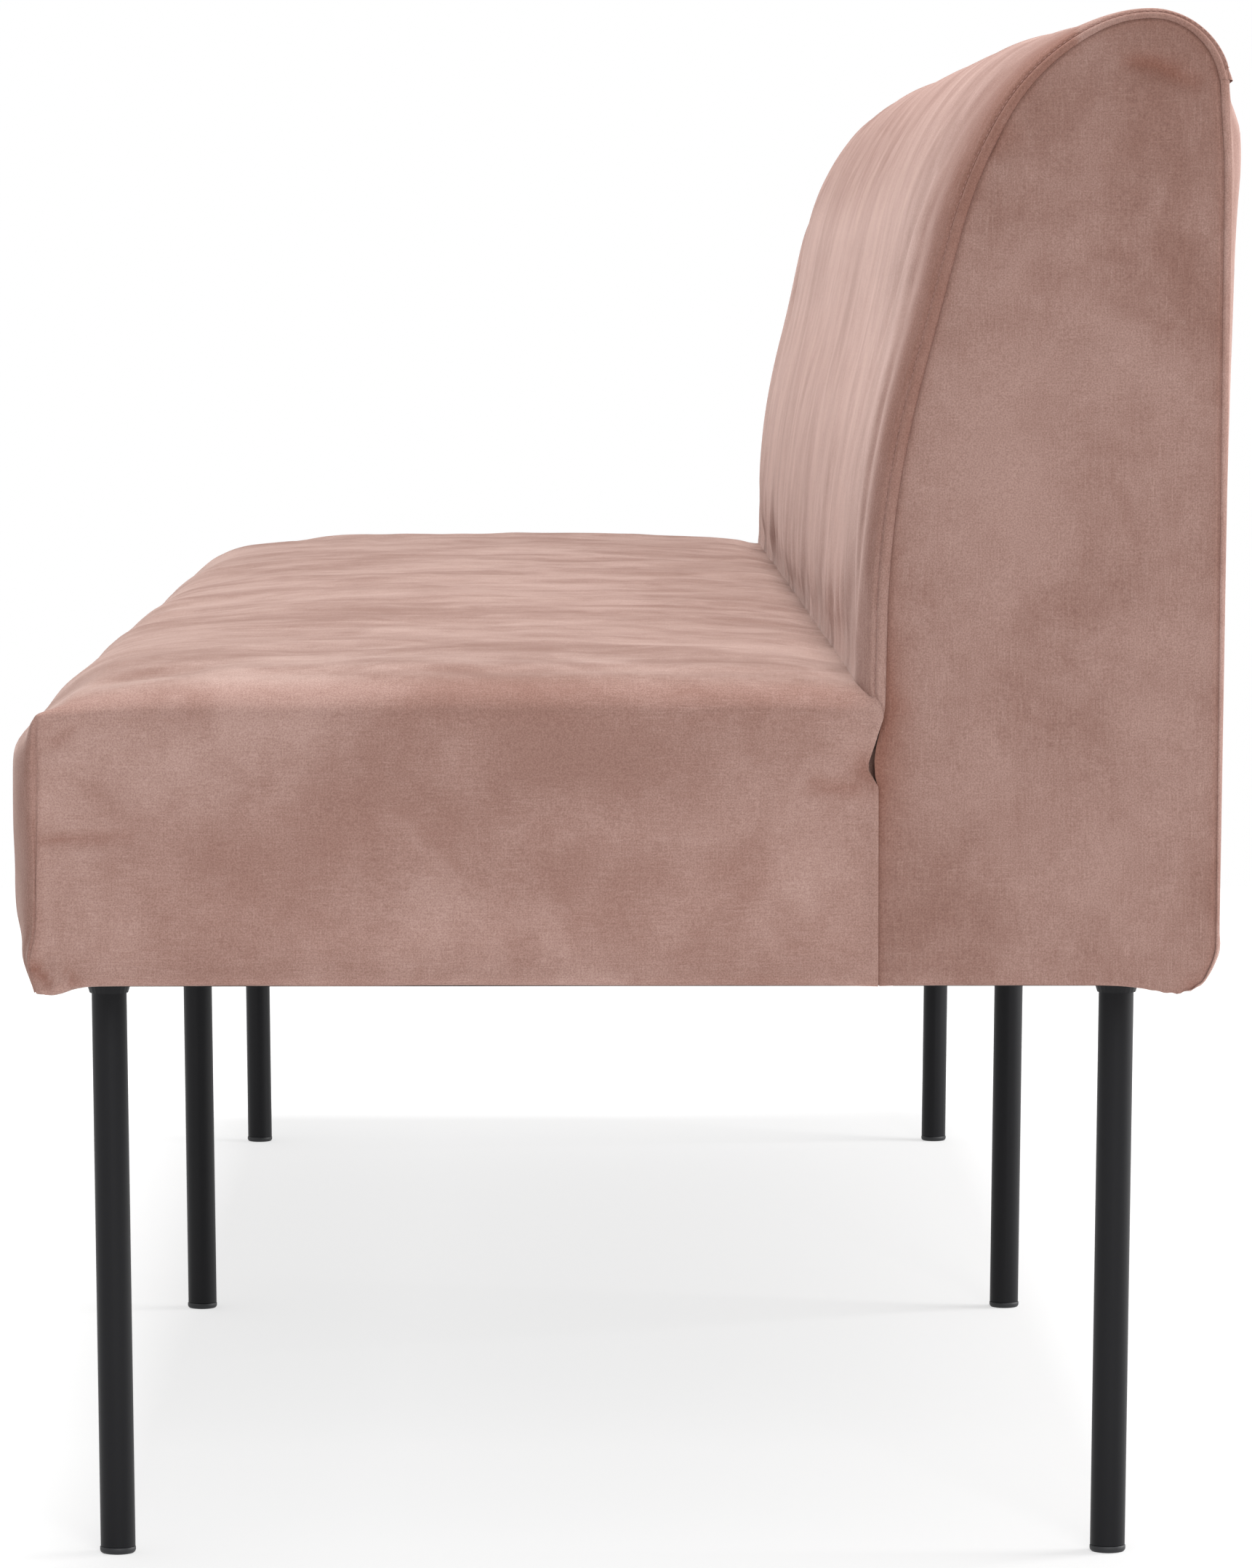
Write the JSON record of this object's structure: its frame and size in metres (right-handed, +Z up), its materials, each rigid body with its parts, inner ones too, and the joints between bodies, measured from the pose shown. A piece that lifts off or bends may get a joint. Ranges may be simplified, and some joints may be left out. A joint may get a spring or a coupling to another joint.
{
  "type": "upholstered dining bench",
  "caption": "Upholstered dining bench with a full-length reclined padded back, on slim round steel legs.",
  "frame": {"origin": "on the floor, under the middle of the bench's outline", "axes": "+X along the bench, -Y the open front of the seat, +Y the back, +Z up"},
  "size_m": [2, 0.6602, 0.838],
  "materials": {
    "velvet": "dusty pink short-pile velvet",
    "foam": "open-cell upholstery foam",
    "webbing": "woven elastic webbing",
    "dust_cloth": "black non-woven cloth",
    "plywood": "raw birch plywood",
    "timber": "planed softwood",
    "black_steel": "matt black powder coat",
    "foot_plastic": "black moulded",
    "zinc_steel": "zinc plated"
  },
  "bodies": {
    "root": {"back_dust_cover": "dust_cloth", "back_end_panel_left": "velvet", "back_end_panel_right": "velvet", "back_foam": "foam", "back_front_cover": "velvet", "back_lower_front_rail": "timber", "back_lower_rear_rail": "timber", "back_lumbar_rail": "timber", "back_rear_panel": "velvet", "back_rib_end_left": "plywood", "back_rib_end_right": "plywood", "back_rib_inner_left": "plywood", "back_rib_inner_right": "plywood", "back_top_rail": "timber", "back_webbing": "webbing", "glide_front_left": "foot_plastic", "glide_front_middle": "foot_plastic", "glide_front_right": "foot_plastic", "glide_rear_left": "foot_plastic", "glide_rear_middle": "foot_plastic", "glide_rear_right": "foot_plastic", "joint_bolts": "zinc_steel", "joint_nuts": "zinc_steel", "joint_washers": "zinc_steel", "leg_block_front_left": "timber", "leg_block_front_middle": "timber", "leg_block_front_right": "timber", "leg_block_rear_left": "timber", "leg_block_rear_middle": "timber", "leg_block_rear_right": "timber", "leg_front_left": "black_steel", "leg_front_middle": "black_steel", "leg_front_right": "black_steel", "leg_plate_front_left": "black_steel", "leg_plate_front_middle": "black_steel", "leg_plate_front_right": "black_steel", "leg_plate_rear_left": "black_steel", "leg_plate_rear_middle": "black_steel", "leg_plate_rear_right": "black_steel", "leg_rear_left": "black_steel", "leg_rear_middle": "black_steel", "leg_rear_right": "black_steel", "leg_screws": "zinc_steel", "seat_cover": "velvet", "seat_cross_rail_left": "timber", "seat_cross_rail_right": "timber", "seat_dust_cover": "dust_cloth", "seat_end_rail_left": "timber", "seat_end_rail_right": "timber", "seat_foam": "foam", "seat_front_rail": "timber", "seat_rear_rail": "timber", "seat_webbing": "webbing"}
  },
  "joints": []
}
